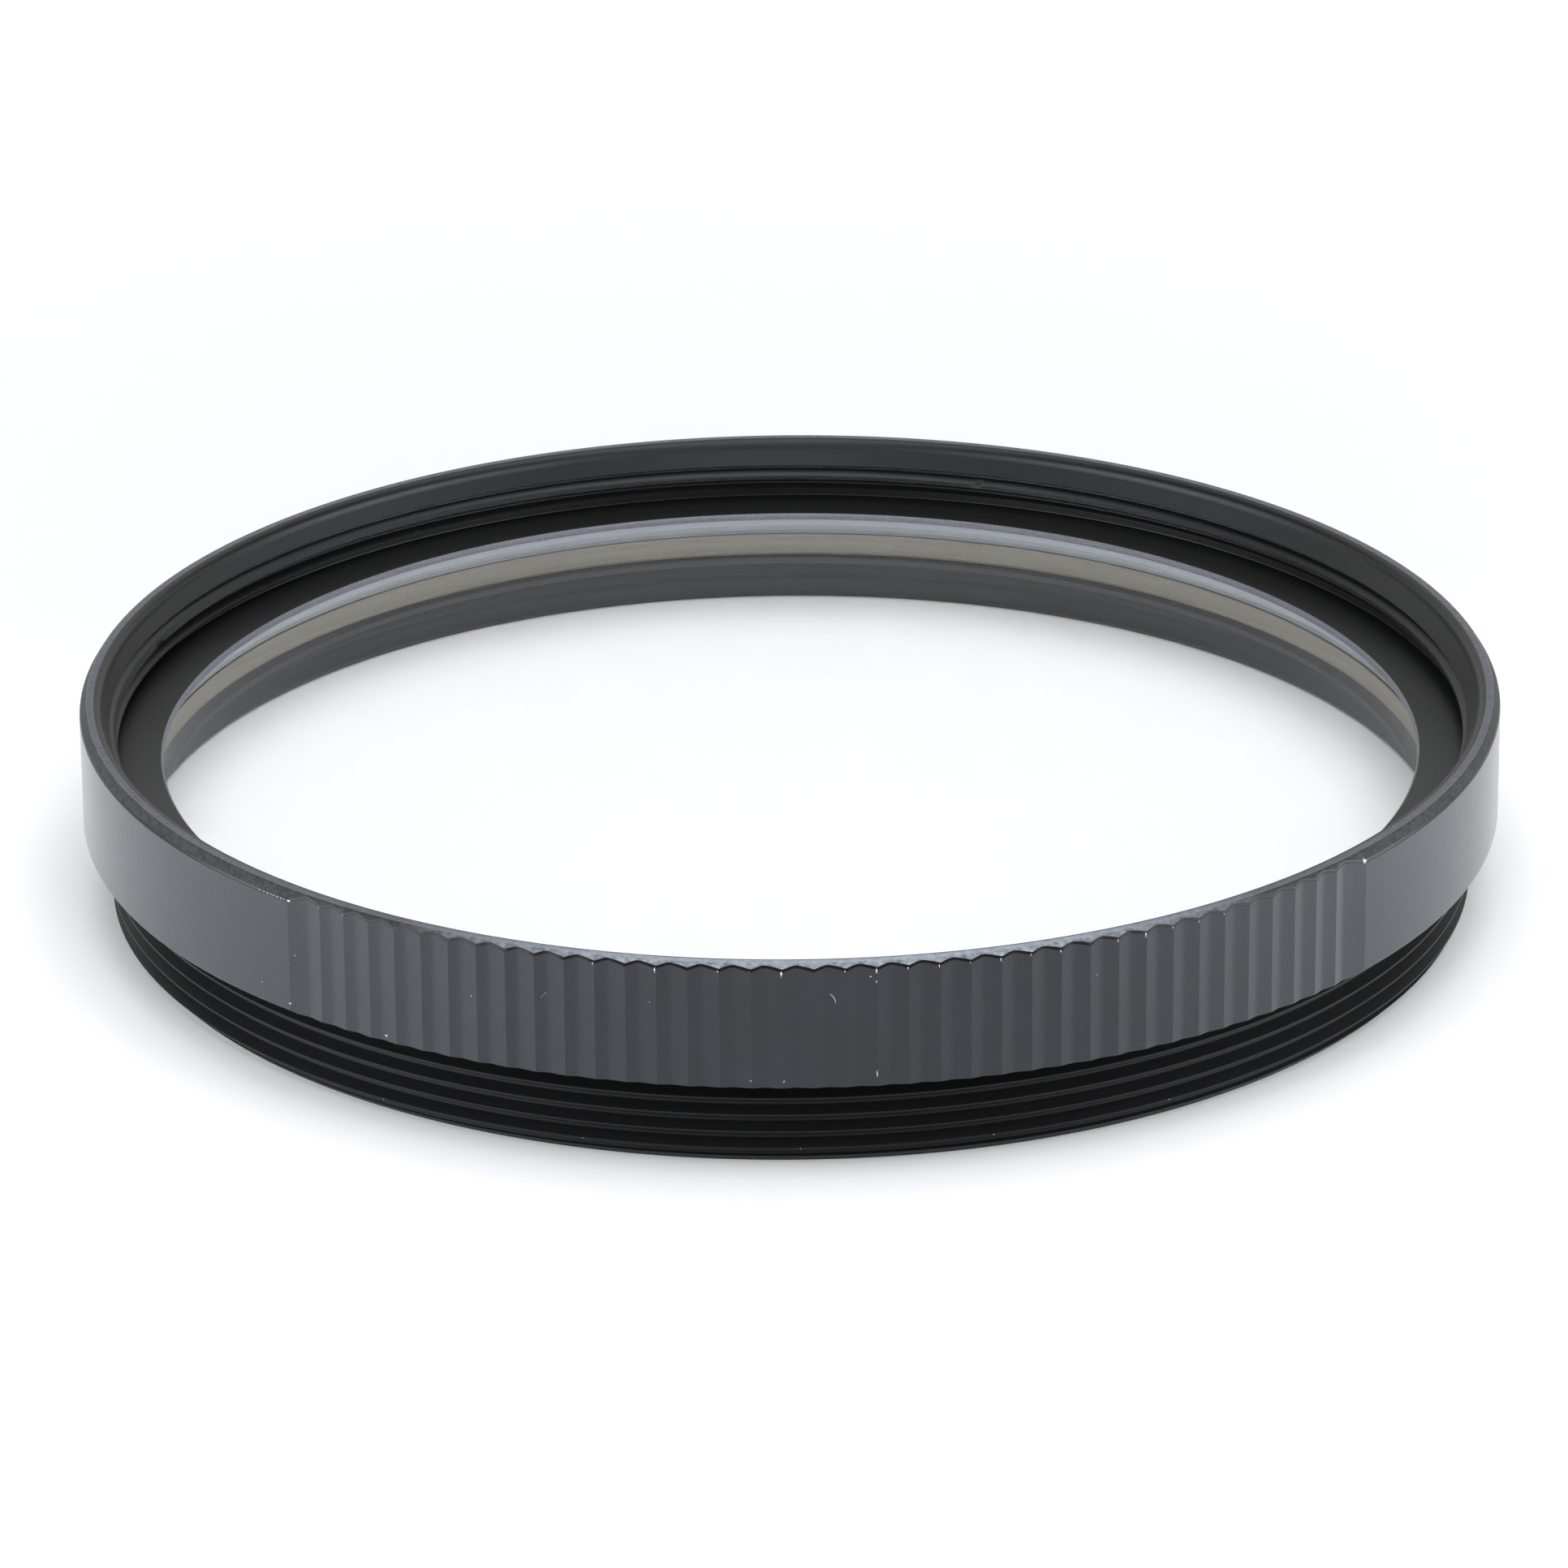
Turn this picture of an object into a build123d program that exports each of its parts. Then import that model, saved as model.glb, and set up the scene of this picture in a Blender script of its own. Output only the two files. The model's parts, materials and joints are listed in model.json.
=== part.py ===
from build123d import *
import os
from math import cos, radians, sin

# Screw-in lens filter: a turned ring with a male thread behind and a female thread in front, a clear
# glass disc against the lip of the ring's inner flange, and a retaining ring that holds the glass from
# behind.
# Millimetres. The origin is the centre of the rear end face, on which the filter stands. +Z is the
# filter's axis and points to the front, and the two grips are centred on -Y and +Y.

# Threads: the same metric fine thread behind and in front, shown as plain cylinders
thread_dia = 60.0
thread_pitch = 0.75
minor_share = 1.0825  # an inner thread's bore is this many pitches under its major diameter

# Heights along the axis, stacked from the front rim to the rear end
front_depth = 2.72  # from the rim down to the flange's ledge
lip_thickness = 0.3  # of the flange's lip, in front of the glass
glass_thickness = 3.2
ring_height = 1.05
rear_recess = 2.33  # from the retaining ring to the rear end

# Mount ring, outside
mount_wall = 1.2  # from the thread's major radius to the plain outer surface
body_height = 5.55  # from the rear shoulder to the front rim
rim_chamfer_width = 0.27
rim_chamfer_height = 0.43
shoulder_chamfer = 0.13
relief_width = 0.65  # groove between the rear thread and the shoulder
relief_depth = 0.6
end_chamfer = 0.7  # lead-in of the rear thread

# Mount ring, inside
lead_in = 0.575  # how far the front edge opens beyond the thread's major radius
entry_chamfer = 0.38
run_in = 1.2  # height over which the front thread comes in to its full depth
front_relief_width = 0.5  # groove between the front thread and the flange
front_relief_depth = 0.12  # beyond the thread's major radius
lip_bevel = 0.1
rear_wall = 1.25  # from the thread's major radius in to the rear bore
rear_chamfer = 0.2

# Grips: rows of sharp ridges between skewed V grooves, set just under the plain surface
grip_count = 2
ridge_count = 37
ridge_pitch = 2.4  # degrees
ridge_drop = 0.1  # from the plain surface down to the ridge tips
groove_depth = 0.115  # below the ridge tips
valley_share = 0.41  # of the pitch, from one ridge to the valley after it
cutter_margin = 0.5  # how far the grip's cutting outline stands clear of the ring

# Glass disc
seat_width = 1.0  # overlap of the glass on the flange's lip
glass_clearance = 0.05
glass_bevel = 0.2

# Retaining ring
ring_overlap = 0.35  # how far the ring reaches in over the glass
ring_step = 0.1  # from the glass's seat out to the retaining ring's bore
ring_overrun = 0.4  # how far that bore runs past the back of the glass
ring_clearance = 0.05
ring_chamfer = 0.1
slot_count = 2
slot_width = 1.2
slot_depth = 0.5

# Radii that follow
thread_r = thread_dia / 2
bore_r = (thread_dia - minor_share * thread_pitch) / 2
mount_r = thread_r + mount_wall
rim_inner_r = thread_r + lead_in
relief_r = thread_r - relief_depth
front_relief_r = thread_r + front_relief_depth
ring_bore_r = thread_r - rear_wall
ring_r = ring_bore_r - ring_clearance
seat_r = ring_bore_r - ring_step
glass_r = seat_r - glass_clearance
lip_r = glass_r - seat_width
ring_inner_r = glass_r - ring_overlap

# Heights that follow
ring_rear_z = rear_recess
glass_rear_z = ring_rear_z + ring_height
seat_z = glass_rear_z + glass_thickness
ledge_z = seat_z + lip_thickness
rim_z = ledge_z + front_depth
shoulder_z = rim_z - body_height


def turned(outline):
    """Solid turned about the axis from a closed outline of (radius, height) points."""
    return revolve(Plane.XZ * make_face(Polyline(*outline, close=True)), Axis.Z)


def at_angle(radius, degrees):
    """Point of the plan at an angle counted from -Y, positive towards +X."""
    return (radius * sin(radians(degrees)), -radius * cos(radians(degrees)))


def mount_outline():
    """Half section of the mount ring, from its rear end up the outside and down the inside."""
    outside = [
        (thread_r - end_chamfer, 0),
        (thread_r, end_chamfer),
        (thread_r, shoulder_z - relief_width),
        (relief_r, shoulder_z - relief_width),
        (relief_r, shoulder_z),
        (mount_r - shoulder_chamfer, shoulder_z),
        (mount_r, shoulder_z + shoulder_chamfer),
        (mount_r, rim_z - rim_chamfer_height),
        (mount_r - rim_chamfer_width, rim_z),
    ]
    front_bore = [
        (rim_inner_r, rim_z),
        (rim_inner_r - entry_chamfer, rim_z - entry_chamfer),
        (bore_r, rim_z - entry_chamfer - run_in),
        (bore_r, ledge_z + front_relief_width),
        (front_relief_r, ledge_z + front_relief_width),
        (front_relief_r, ledge_z),
    ]
    lip_and_rear_bore = [
        (lip_r + lip_bevel, ledge_z),
        (lip_r, ledge_z - lip_bevel),
        (lip_r, seat_z),
        (seat_r, seat_z),
        (seat_r, glass_rear_z + ring_overrun),
        (ring_bore_r, glass_rear_z + ring_overrun),
        (ring_bore_r, rear_chamfer),
        (ring_bore_r + rear_chamfer, 0),
    ]
    return outside + front_bore + lip_and_rear_bore


def grip_cutter():
    """What one grip takes off the ring: everything outside a row of skewed V grooves."""
    tip_r = mount_r - ridge_drop
    valley_r = tip_r - groove_depth
    clear_of_ring = (ridge_drop + groove_depth + cutter_margin) / groove_depth
    first_ridge = -ridge_pitch * (ridge_count - 1) / 2

    def ridge(i):
        return Vector(at_angle(tip_r, first_ridge + i * ridge_pitch))

    def valley(i):
        return Vector(at_angle(valley_r, first_ridge + (i + valley_share) * ridge_pitch))

    start = valley(-1) + (ridge(-1) - valley(-1)) * clear_of_ring
    last = ridge_count - 1
    end = valley(last) + (ridge(ridge_count) - valley(last)) * clear_of_ring
    grooves = [start, valley(-1)]
    for i in range(ridge_count):
        grooves += [ridge(i), valley(i)]
    grooves.append(end)

    middle = at_angle(mount_r + 2 * cutter_margin, 0)
    plan = make_face(Polyline(*grooves) + ThreePointArc(end, middle, start))
    return Pos(0, 0, shoulder_z) * extrude(plan, body_height)


def filter_mount():
    """The turned ring with its threads, flange and grips."""
    ring = turned(mount_outline())
    cutter = grip_cutter()
    for i in range(grip_count):
        ring -= Rot(0, 0, 360 / grip_count * i) * cutter
    return ring


def glass_disc():
    """Flat disc with a ground, bevelled edge, seated against the flange's lip."""
    return turned([
        (0, glass_rear_z),
        (glass_r - glass_bevel, glass_rear_z),
        (glass_r, glass_rear_z + glass_bevel),
        (glass_r, seat_z - glass_bevel),
        (glass_r - glass_bevel, seat_z),
        (0, seat_z),
    ])


def retaining_ring():
    """Thin ring behind the glass, with spanner slots across its rear face."""
    ring = turned([
        (ring_inner_r + ring_chamfer, ring_rear_z),
        (ring_r - ring_chamfer, ring_rear_z),
        (ring_r, ring_rear_z + ring_chamfer),
        (ring_r, glass_rear_z),
        (ring_inner_r, glass_rear_z),
        (ring_inner_r, ring_rear_z + ring_chamfer),
    ])
    slot_length = 2 * (ring_r - ring_inner_r) + slot_width
    slot = Pos(ring_r, 0, ring_rear_z) * Box(slot_length, slot_width, 2 * slot_depth)
    for i in range(slot_count):
        ring -= Rot(0, 0, 360 / slot_count * i) * slot
    return ring


def main():
    os.makedirs("parts", exist_ok=True)
    pieces = {
        "filter_mount": filter_mount(),
        "glass_disc": glass_disc(),
        "retaining_ring": retaining_ring(),
    }
    for name, piece in pieces.items():
        export_step(piece, f"parts/{name}.step")


main()
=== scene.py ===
import json
from bisect import bisect_right
from collections import namedtuple
from functools import partial
from math import acos, atan2, ceil, cos, degrees, floor, hypot, inf, pi, radians, sin, tan
from random import Random

import bpy
from mathutils import Matrix, Vector


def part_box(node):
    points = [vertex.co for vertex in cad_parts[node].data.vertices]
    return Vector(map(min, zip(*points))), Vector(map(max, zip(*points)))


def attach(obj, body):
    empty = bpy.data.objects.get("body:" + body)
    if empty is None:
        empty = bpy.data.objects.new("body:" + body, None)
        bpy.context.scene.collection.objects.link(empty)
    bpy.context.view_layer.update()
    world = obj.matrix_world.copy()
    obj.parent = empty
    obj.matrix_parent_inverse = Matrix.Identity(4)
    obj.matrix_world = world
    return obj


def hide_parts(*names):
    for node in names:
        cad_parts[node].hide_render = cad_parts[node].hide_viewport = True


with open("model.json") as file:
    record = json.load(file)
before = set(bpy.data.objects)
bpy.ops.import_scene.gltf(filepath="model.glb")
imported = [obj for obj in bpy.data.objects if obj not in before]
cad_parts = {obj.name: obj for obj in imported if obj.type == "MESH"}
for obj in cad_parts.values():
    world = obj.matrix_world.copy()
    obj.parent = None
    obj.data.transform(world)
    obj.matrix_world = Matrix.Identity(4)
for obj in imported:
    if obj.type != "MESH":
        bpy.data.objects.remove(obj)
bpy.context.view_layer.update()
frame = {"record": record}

# Looks of a screw-in lens filter that stands on its rear end, seen from a little above its front rim.
# Sizes are millimetres unless a comment says otherwise, and MM turns them into the frame's metres.
# Angles are degrees about the axis, counted from -Y and positive towards +X.
MM = 0.001


def node_box(name):
    """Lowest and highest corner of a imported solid, in millimetres."""
    low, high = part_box(name)
    return low / MM, high / MM


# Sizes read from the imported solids
mount_high = node_box("filter_mount")[1]
glass_low, glass_high = node_box("glass_disc")
ring_low, ring_high = node_box("retaining_ring")
mount_dims = {mount["name"]: mount["dims"] for mount in frame["record"]["mounts"]}
mount_r = mount_high.x
rim_z = mount_high.z
thread_r = mount_dims["rear_thread"]["r_mm"]
bore_r = mount_dims["front_thread"]["r_mm"]
glass_r = glass_high.x
glass_rear_z = glass_low.z
seat_z = glass_high.z
ring_r = ring_high.x
ring_rear_z = ring_low.z

# Sizes repeated from the part's source
thread_pitch = 0.75
front_depth = 2.72
body_height = 5.55
rim_chamfer_width = 0.27
rim_chamfer_height = 0.43
shoulder_chamfer = 0.13
relief_width = 0.65
relief_depth = 0.6
end_chamfer = 0.7
lead_in = 0.575
entry_chamfer = 0.38
run_in = 1.2
front_relief_width = 0.5
front_relief_depth = 0.12
lip_bevel = 0.1
rear_chamfer = 0.2
grip_count = 2
ridge_count = 37
ridge_pitch = 2.4
ridge_drop = 0.1
groove_depth = 0.115
valley_share = 0.41
seat_width = 1.0
glass_clearance = 0.05
glass_bevel = 0.2
ring_overlap = 0.35
ring_clearance = 0.05
ring_overrun = 0.4
ring_chamfer = 0.1
slot_count = 2
slot_width = 1.2
slot_depth = 0.5

# Sizes of the finer detail
crest_z = 0.846  # height of the lowest full thread crest at angle 0
male_depth = 0.46
flank_angle = 30  # degrees, of each flank of both threads
edge_ease = 0.045  # how far back each turned edge is rounded
top_edge_ease = 0.07  # the same at the top of the outer wall
most_ease = 0.4  # largest share of a side that the rounding at one of its ends takes
valley_round = 0.22  # degrees each side of a groove's bottom that are rounded
plain_step = 1.5  # degrees between columns of the plain zones
cone_start = 0.1  # how far along a cone its thread takes over
entry_steps = 6  # facets of the front rim's rounded inner edge
least_shoulder = 0.02  # least chamfer at the shoulder, in the bottom of a groove
disc_steps = 288  # columns all round the glass and the retaining ring
first_slot = 90  # degrees
slot_margin = 0.5  # degrees on each side of a slot that have no columns of their own

# Radii and heights that follow
lip_r = glass_r - seat_width
ring_inner_r = glass_r - ring_overlap
seat_r = glass_r + glass_clearance
ring_bore_r = ring_r + ring_clearance
relief_r = thread_r - relief_depth
front_relief_r = thread_r + front_relief_depth
rim_inner_r = thread_r + lead_in
entry_r = rim_inner_r - entry_chamfer
rim_outer_r = mount_r - rim_chamfer_width
entry_z = rim_z - entry_chamfer
ledge_z = rim_z - front_depth
shoulder_z = rim_z - body_height
ring_top_z = glass_rear_z + ring_overrun
tip_r = mount_r - ridge_drop
valley_r = tip_r - groove_depth

Thread = namedtuple("Thread", "pitch crest_r root_r crest_flat lead")
Column = namedtuple("Column", "angle wall_r crease")
Row = namedtuple("Row", "key r z")

male_thread = Thread(thread_pitch, thread_r, thread_r - male_depth, thread_pitch / 8, crest_z)
female_thread = Thread(thread_pitch, bore_r, thread_r, thread_pitch / 4, crest_z)
POINTS_PER_TURN = 4


def polar(r, angle, z):
    """Point of the frame, in metres, at a radius, an angle and a height."""
    turn = radians(angle)
    return Vector((r * sin(turn), -r * cos(turn), z)) * MM


def between(first, second, share):
    """Point at a share of the way from one (radius, height) point to another."""
    return tuple(a + share * (b - a) for a, b in zip(first, second))


def eased(corners, wide_corner=None):
    """Outline whose inner corners are each rounded by three points, one of them perhaps more widely."""
    outline = [corners[0]]
    for number, (before, corner, after) in enumerate(zip(corners, corners[1:], corners[2:]), 1):
        ease = top_edge_ease if number == wide_corner else edge_ease
        reach_in = min(ease / hypot(corner[0] - before[0], corner[1] - before[1]), most_ease)
        reach_out = min(ease / hypot(after[0] - corner[0], after[1] - corner[1]), most_ease)
        start = between(corner, before, reach_in)
        end = between(corner, after, reach_out)
        middle = between(between(start, end, 0.5), corner, 0.5)
        outline += [start, middle, end]
    return outline + [corners[-1]]


# Plan of the ring's outside: two grips of sharp ridges, with plain zones between them


def wall_line(first, second):
    """The straight line through two (angle, radius) points, as its foot's (angle, radius)."""
    u0, v0 = first[1] * sin(radians(first[0])), first[1] * cos(radians(first[0]))
    u1, v1 = second[1] * sin(radians(second[0])), second[1] * cos(radians(second[0]))
    length = hypot(u1 - u0, v1 - v0)
    across_u, across_v = (v0 - v1) / length, (u1 - u0) / length
    return degrees(atan2(across_u, across_v)), u0 * across_u + v0 * across_v


def line_r(line, angle):
    """Radius at which a plan line is met at an angle."""
    foot_angle, foot_r = line
    return foot_r / cos(radians(angle - foot_angle))


def zone_corner(line, side):
    """Angle at which an end wall of a grip reaches the plain surface, on its left (-1) or right (1)."""
    foot_angle, foot_r = line
    return foot_angle + side * degrees(acos(foot_r / mount_r))


def ridge(i):
    """Tip of a ridge of the grip that is centred on angle 0, as (angle, radius)."""
    return (ridge_pitch * (i - (ridge_count - 1) / 2), tip_r)


def valley(i):
    """Bottom of the groove after a ridge, as (angle, radius)."""
    return (ridge_pitch * (i + valley_share - (ridge_count - 1) / 2), valley_r)


def grip_columns():
    """Columns of one grip, centred on angle 0, from its left corner to its right corner."""
    columns = []
    for i in range(-1, ridge_count):
        left, right = wall_line(ridge(i), valley(i)), wall_line(valley(i), ridge(i + 1))
        start = ridge(i)[0] if i >= 0 else zone_corner(left, -1)
        bottom = valley(i)[0]
        after = ridge(i + 1)[0] if i + 1 < ridge_count else zone_corner(right, 1)
        left_end, right_start = bottom - valley_round, bottom + valley_round
        left_r, right_r = line_r(left, left_end), line_r(right, right_start)
        columns += [
            Column(start, line_r(left, start), True),
            Column((start + left_end) / 2, line_r(left, (start + left_end) / 2), False),
            Column(left_end, left_r, False),
            Column(bottom, (left_r + 2 * valley_r + right_r) / 4, False),
            Column(right_start, right_r, False),
            Column((right_start + after) / 2, line_r(right, (right_start + after) / 2), False),
        ]
    columns.append(Column(after, line_r(right, after), True))
    return columns


def ring_columns():
    """Columns all round the mount ring: each grip, then the plain zone after it."""
    grip = grip_columns()
    columns = []
    for turn in range(grip_count):
        shift = turn * 360 / grip_count
        columns += [column._replace(angle=column.angle + shift) for column in grip]
        zone_start = grip[-1].angle + shift
        zone_end = grip[0].angle + shift + 360 / grip_count
        steps = ceil((zone_end - zone_start) / plain_step)
        for step in range(1, steps):
            columns.append(Column(zone_start + (zone_end - zone_start) * step / steps, mount_r, False))
    return columns


# Threads: helical points that climb with the angle, cut by the chamfer at their open end


def thread_points(thread, angle, low, high):
    """Numbered points of a right-hand thread at an angle, rising from under low to over high."""
    half = thread.crest_flat / 2
    flank = abs(thread.crest_r - thread.root_r) * tan(radians(flank_angle))
    form = [
        (-half, thread.crest_r),
        (half, thread.crest_r),
        (half + flank, thread.root_r),
        (thread.pitch - half - flank, thread.root_r),
    ]
    base = thread.lead + thread.pitch * angle / 360
    first = floor((low - base) / thread.pitch) - 1
    last = ceil((high - base) / thread.pitch) + 1
    return [
        (turn * POINTS_PER_TURN + i, (r, base + turn * thread.pitch + rise))
        for turn in range(first, last + 1)
        for i, (rise, r) in enumerate(form)
    ]


def cut_thread(thread, angle, chamfer_r, side, start, limit):
    """Numbered points of a thread from its chamfer to a limiting height, and its radius at that limit.

    side is 1 where the chamfer trims the thread from outside, and -1 where it trims it from inside.
    """
    points = thread_points(thread, angle, min(start, limit), max(start, limit))
    if limit < start:
        points.reverse()
    kept = []
    for (number, point), (next_number, next_point) in zip(points, points[1:]):
        room = side * (chamfer_r(point[1]) - point[0])
        next_room = side * (chamfer_r(next_point[1]) - next_point[0])
        if room >= 0:
            kept.append((number, point))
        if room * next_room < 0:
            crossing = between(point, next_point, room / (room - next_room))
            kept.append(((number + next_number) / 2, crossing))
        if min(point[1], next_point[1]) <= limit <= max(point[1], next_point[1]):
            share = (limit - point[1]) / (next_point[1] - point[1])
            return kept, between(point, next_point, share)[0]


def rear_cone(z):
    """Radius of the rear thread's end chamfer at a height."""
    return thread_r - end_chamfer + z


def front_cone(z):
    """Radius of the steep cone by which the front thread runs in, at a height."""
    return entry_r - (entry_r - bore_r) * (entry_z - z) / run_in


# Rows of a loop are keyed (section, number), so that equal keys of two columns join up
MALE, OUTSIDE, FEMALE = 1, 2, 3
TURN_SHIFT = {MALE: -POINTS_PER_TURN, FEMALE: POINTS_PER_TURN}
SHOULDER_CORNER, WALL_TOP_CORNER, RIM_CORNER = 3, 5, 6  # places in outside_corners
ROWS_PER_CORNER = 3  # a rounded corner's start, middle and end
WALL_FIRST_ROW = ROWS_PER_CORNER * SHOULDER_CORNER
WALL_LAST_ROW = ROWS_PER_CORNER * (WALL_TOP_CORNER - 1) + 1
ENTRY_FIRST_ROW = ROWS_PER_CORNER * RIM_CORNER + 2


def outside_corners(wall_r, thread_end_r):
    """Outside of the ring from the rear thread's end, over the shoulder and wall, to the front rim."""
    under = max(wall_r - (mount_r - shoulder_chamfer), least_shoulder)
    edge_z = rim_z - rim_chamfer_height * (wall_r - rim_outer_r) / rim_chamfer_width
    return [
        (thread_end_r, shoulder_z - relief_width),
        (relief_r, shoulder_z - relief_width),
        (relief_r, shoulder_z),
        (wall_r - under, shoulder_z),
        (wall_r, shoulder_z + under),
        (wall_r, edge_z),
        (rim_outer_r, rim_z),
        (rim_inner_r, rim_z),
    ]


def rounded_entry():
    """Inner edge of the front rim, rounded off, down to where the front thread runs in."""
    turns = [radians(90 * step / entry_steps) for step in range(1, entry_steps + 1)]
    arc = [(rim_inner_r - entry_chamfer * sin(turn), entry_z + entry_chamfer * cos(turn)) for turn in turns]
    return arc + [(front_cone(entry_z - cone_start), entry_z - cone_start)]


def inside_corners(front_end_r):
    """Inside of the ring from the front thread's end, over the lip and seat, to the rear bore."""
    return [
        (front_end_r, ledge_z + front_relief_width),
        (front_relief_r, ledge_z + front_relief_width),
        (front_relief_r, ledge_z),
        (lip_r + lip_bevel, ledge_z),
        (lip_r, ledge_z - lip_bevel),
        (lip_r, seat_z),
        (seat_r, seat_z),
        (seat_r, ring_top_z),
        (ring_bore_r, ring_top_z),
        (ring_bore_r, ring_rear_z),
    ]


def rear_corners():
    """Rear end of the ring, from its inner chamfer to its outer one."""
    return [
        (ring_bore_r, 2 * rear_chamfer),
        (ring_bore_r, rear_chamfer),
        (ring_bore_r + rear_chamfer, 0),
        (rear_cone(0), 0),
        (rear_cone(cone_start), cone_start),
    ]


def mount_loop(column):
    """Section of the mount ring at one column, as rows in order round it."""
    thread_end = shoulder_z - relief_width
    front_end = ledge_z + front_relief_width
    male, male_end_r = cut_thread(male_thread, column.angle, rear_cone, 1, 0, thread_end)
    female, female_end_r = cut_thread(female_thread, column.angle, front_cone, -1, entry_z, front_end)
    outside = eased(outside_corners(column.wall_r, male_end_r), WALL_TOP_CORNER) + rounded_entry()
    outlines = [
        list(enumerate(eased(rear_corners()))),
        male,
        list(enumerate(outside)),
        [(-number, point) for number, point in female],
        list(enumerate(eased(inside_corners(female_end_r)))),
    ]
    return [
        Row((section, number), r, z)
        for section, outline in enumerate(outlines)
        for number, (r, z) in outline
    ]


# Meshes from loops of rows


def stitch(left, right):
    """Faces between two neighbouring loops of (key, vertex), and the rows that both have."""
    faces = []
    rows = [(left[0][0], left[0][1], right[0][1])]
    i = j = 0
    while i + 1 < len(left) or j + 1 < len(right):
        next_left = left[i + 1][0] if i + 1 < len(left) else (inf, inf)
        next_right = right[j + 1][0] if j + 1 < len(right) else (inf, inf)
        face = [left[i][1], right[j][1]]
        if next_right <= next_left:
            j += 1
            face.append(right[j][1])
        if next_left <= next_right:
            i += 1
            face.append(left[i][1])
        if next_left == next_right:
            rows.append((left[i][0], left[i][1], right[j][1]))
        faces.append(face)
    return faces, rows


def closed_loop(keyed_vertices):
    """A loop of (key, vertex) that comes back to its first vertex."""
    return keyed_vertices + [((inf, 0), keyed_vertices[0][1])]


def new_piece(name, vertices, faces, sharp_edges=()):
    """Smooth-shaded object that rides on the root body, with the given edges kept sharp."""
    mesh = bpy.data.meshes.new(name)
    mesh.from_pydata(vertices, [], faces)
    mesh.polygons.foreach_set("use_smooth", [True] * len(mesh.polygons))
    wanted = {tuple(sorted(edge)) for edge in sharp_edges}
    marks = mesh.attributes.new("sharp_edge", "BOOLEAN", "EDGE")
    marks.data.foreach_set("value", [tuple(sorted(edge.vertices)) in wanted for edge in mesh.edges])
    mesh.validate()
    piece = bpy.data.objects.new(name, mesh)
    bpy.context.scene.collection.objects.link(piece)
    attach(piece, "root")
    return piece


def make_mount(columns):
    """The turned ring with its threads, flange and grips as one closed mesh."""
    vertices, loops, sharp = [], [], []
    for column in columns:
        loop = []
        for row in mount_loop(column):
            on_wall = row.key[0] == OUTSIDE and WALL_FIRST_ROW < row.key[1] <= WALL_LAST_ROW
            if column.crease and on_wall:
                sharp.append((len(vertices) - 1, len(vertices)))
            loop.append((row.key, len(vertices)))
            vertices.append(polar(row.r, column.angle, row.z))
        loops.append(loop)

    def is_rounded(key):
        """Whether a row lies within a rounded edge and stays smooth."""
        on_entry = ENTRY_FIRST_ROW <= key[1] < ENTRY_FIRST_ROW + entry_steps
        return key[0] == OUTSIDE and (on_entry or key[1] == WALL_LAST_ROW + 1)

    def next_turn(key):
        """Key of a row after one turn, by which a thread has climbed one pitch."""
        return (key[0], key[1] + TURN_SHIFT.get(key[0], 0))

    loops.append([(next_turn(key), vertex) for key, vertex in loops[0]])
    faces = []
    for left, right in zip(loops, loops[1:]):
        new_faces, rows = stitch(closed_loop(left), closed_loop(right))
        faces += new_faces
        sharp += [(first, second) for key, first, second in rows if not is_rounded(key)]
    return new_piece("filter_mount_body", vertices, faces, sharp)


def make_turned(name, loops, is_closed=True):
    """Closed mesh from loops of points, each the section at one column, all with the same count."""
    vertices, faces, sharp, indices = [], [], [], {}
    keyed_loops = []
    for loop in loops:
        keyed = []
        for number, point in enumerate(loop):
            place = tuple(round(value / MM, 6) for value in point)
            if place not in indices:
                indices[place] = len(vertices)
                vertices.append(point)
            keyed.append(((0, number), indices[place]))
        keyed_loops.append(closed_loop(keyed) if is_closed else keyed)
    for left, right in zip(keyed_loops, keyed_loops[1:] + keyed_loops[:1]):
        new_faces, rows = stitch(left, right)
        sharp += [(first, second) for _, first, second in rows if first != second]
        for face in new_faces:
            corners = list(dict.fromkeys(face))
            if len(corners) > 2:
                faces.append(corners)
    return new_piece(name, vertices, faces, sharp)


def make_glass():
    """Clear disc with polished faces and a ground, bevelled edge."""
    outline = eased([
        (0, glass_rear_z),
        (glass_r - glass_bevel, glass_rear_z),
        (glass_r, glass_rear_z + glass_bevel),
        (glass_r, seat_z - glass_bevel),
        (glass_r - glass_bevel, seat_z),
        (0, seat_z),
    ])
    loops = [
        [polar(r, 360 * step / disc_steps, z) for r, z in outline]
        for step in range(disc_steps)
    ]
    return make_turned("clear_glass_disc", loops, is_closed=False)


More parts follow.
